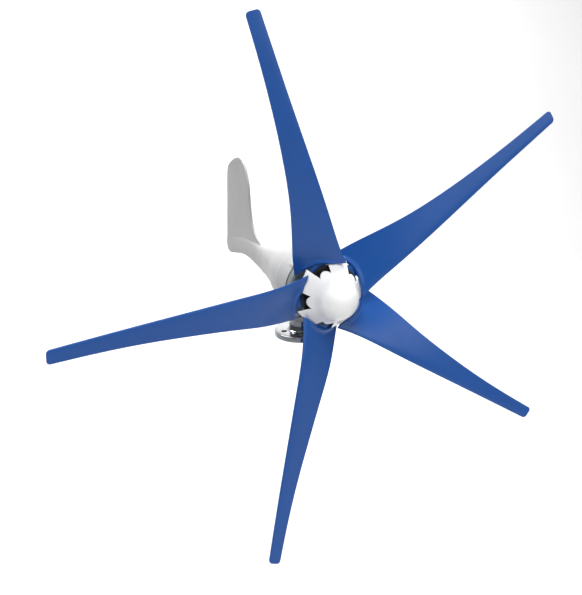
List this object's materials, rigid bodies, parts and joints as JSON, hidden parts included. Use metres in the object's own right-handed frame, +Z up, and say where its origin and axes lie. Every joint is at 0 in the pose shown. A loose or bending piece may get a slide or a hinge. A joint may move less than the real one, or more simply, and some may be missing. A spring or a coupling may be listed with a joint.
{
  "type": "small wind turbine",
  "caption": "Small horizontal-axis wind turbine: twisted blades on a nose-coned hub, generator housing cast with a tail fin, turning on a flanged yaw spindle.",
  "frame": {"origin": "centre of the mounting flange's lower face, on the yaw axis", "axes": "+Z up along the yaw axis, rotor nose toward -Y, tail fin toward +Y, rotor axis 145 mm above the flange's lower face"},
  "size_m": [1.0949, 0.7902, 1.1497],
  "materials": {
    "blade_plastic": "satin moulded plastic",
    "nose_plastic": "glossy moulded plastic",
    "housing_paint": "cast, satin grey powder coat",
    "cover_paint": "cast, satin grey powder coat",
    "polished_steel": "machined and polished",
    "black_metal": "black coat",
    "rubber": "moulded",
    "phenolic": "moulded",
    "brass": "turned",
    "carbon": "pressed carbon",
    "copper_wire": "enamelled",
    "core_steel": "laminated",
    "magnet": "nickel plated",
    "cage": "pressed",
    "bearing_steel": "ground",
    "fastener_steel": "plated",
    "machined_steel": "turned"
  },
  "bodies": {
    "mount": {"mount_flange": "polished_steel", "yaw_spacer": "machined_steel", "yaw_retaining_ring": "machined_steel", "slip_ring_sleeve": "phenolic", "slip_rings": "brass", "cable_bush": "rubber", "lower_yaw_bearing_inner_ring": "bearing_steel", "upper_yaw_bearing_inner_ring": "bearing_steel"},
    "nacelle": {"brush_holder": "phenolic", "brush_springs": "machined_steel", "brushes": "carbon", "cover_gasket": "rubber", "cover_screws": "fastener_steel", "front_bearing_outer_ring": "bearing_steel", "front_cover": "cover_paint", "housing_tail": "housing_paint", "lower_yaw_bearing_outer_ring": "bearing_steel", "neck_seal": "rubber", "phase_leads": "copper_wire", "rear_bearing_outer_ring": "bearing_steel", "shaft_seal": "rubber", "stator_coils": "copper_wire", "stator_core": "core_steel", "upper_yaw_bearing_outer_ring": "bearing_steel", "wave_washer": "machined_steel"},
    "rotor": {"blade_1": "blade_plastic", "blade_2": "blade_plastic", "blade_3": "blade_plastic", "blade_4": "blade_plastic", "blade_5": "blade_plastic", "blade_bolts": "fastener_steel", "blade_nuts": "fastener_steel", "bolt_washers": "fastener_steel", "clamp_plate": "black_metal", "front_bearing_inner_ring": "bearing_steel", "hub_key": "machined_steel", "hub_plate": "black_metal", "magnet_core": "core_steel", "magnets": "magnet", "nose_cone": "nose_plastic", "nose_screws": "fastener_steel", "rear_bearing_inner_ring": "bearing_steel", "rotor_key": "machined_steel", "rotor_shaft": "machined_steel", "shaft_nut": "fastener_steel", "shaft_washer": "fastener_steel"},
    "front_balls": {"front_bearing_balls": "bearing_steel", "front_bearing_cage": "cage"},
    "rear_balls": {"rear_bearing_balls": "bearing_steel", "rear_bearing_cage": "cage"},
    "lower_yaw_balls": {"lower_yaw_bearing_balls": "bearing_steel", "lower_yaw_bearing_cage": "cage"},
    "upper_yaw_balls": {"upper_yaw_bearing_balls": "bearing_steel", "upper_yaw_bearing_cage": "cage"}
  },
  "joints": [
    {"name": "yaw_turn", "type": "hinge", "parent": "mount", "child": "nacelle", "pos_m": [0, 0, 0.08], "axis": [0, 0, 1], "continuous": true},
    {"name": "rotor_spin", "type": "hinge", "parent": "nacelle", "child": "rotor", "pos_m": [0, -0.08, 0.145], "axis": [0, 1, 0], "continuous": true},
    {"name": "front_balls_roll", "type": "hinge", "parent": "nacelle", "child": "front_balls", "pos_m": [0, -0.113, 0.145], "axis": [0, 1, 0], "continuous": true},
    {"name": "rear_balls_roll", "type": "hinge", "parent": "nacelle", "child": "rear_balls", "pos_m": [0, -0.038, 0.145], "axis": [0, 1, 0], "continuous": true},
    {"name": "lower_yaw_balls_roll", "type": "hinge", "parent": "mount", "child": "lower_yaw_balls", "pos_m": [0, 0, 0.0515], "axis": [0, 0, 1], "continuous": true},
    {"name": "upper_yaw_balls_roll", "type": "hinge", "parent": "mount", "child": "upper_yaw_balls", "pos_m": [0, 0, 0.0915], "axis": [0, 0, 1], "continuous": true}
  ],
  "couplings": [
    {"joint": "front_balls_roll", "follows": "rotor_spin", "ratio": 0.3836},
    {"joint": "rear_balls_roll", "follows": "rotor_spin", "ratio": 0.3842},
    {"joint": "lower_yaw_balls_roll", "follows": "yaw_turn", "ratio": 0.5824},
    {"joint": "upper_yaw_balls_roll", "follows": "yaw_turn", "ratio": 0.5824}
  ]
}
